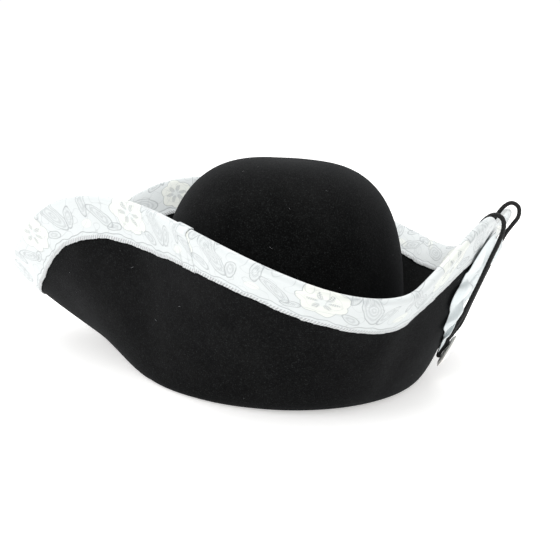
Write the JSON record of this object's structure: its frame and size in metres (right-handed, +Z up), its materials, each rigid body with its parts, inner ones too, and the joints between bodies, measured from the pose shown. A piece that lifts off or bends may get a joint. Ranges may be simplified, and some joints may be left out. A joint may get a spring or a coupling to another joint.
{
  "type": "cocked hat",
  "caption": "Black felt three-cornered costume hat with a brocade-bound turned-up brim, satin cockade and a corded button loop.",
  "frame": {"origin": "middle of the bounding box on the surface the hat rests on", "axes": "+Z up through the crown, -Y towards the wearer's front, +X towards the wearer's left, where the cockade is"},
  "size_m": [0.3569, 0.3579, 0.1425],
  "materials": {
    "felt": "fine matt wool felt with short surface fibres",
    "brocade": "white and silver floral brocade ribbon with a corded selvedge",
    "grosgrain": "ribbed ribbon",
    "satin": "white satin, soft sheen",
    "buckram": "stiffened open weave",
    "cord": "braided black cord",
    "metal": "soft silver plate, lightly worn",
    "thread": "twisted sewing thread"
  },
  "bodies": {
    "hat": {"felt_body": "felt", "brim_trim": "brocade", "sweatband": "grosgrain", "cockade_ruffle": "satin", "cockade_backing": "buckram", "loop_cord": "cord", "cord_knot_near": "cord", "cord_knot_far": "cord"},
    "thread": {"button_thread": "thread"},
    "button": {"button_cap": "metal", "button_back": "metal", "button_shank": "metal"}
  },
  "joints": [
    {"name": "button_twist", "type": "hinge", "parent": "hat", "child": "thread", "pos_m": [0.13846, -0.0055, 0.02307], "axis": [0.8988, 0, -0.4384], "range_deg": [-30, 30]},
    {"name": "button_tilt", "type": "hinge", "parent": "thread", "child": "button", "pos_m": [0.13846, -0.0055, 0.02307], "axis": [0, 1, 0], "range_deg": [-2, 6]}
  ]
}
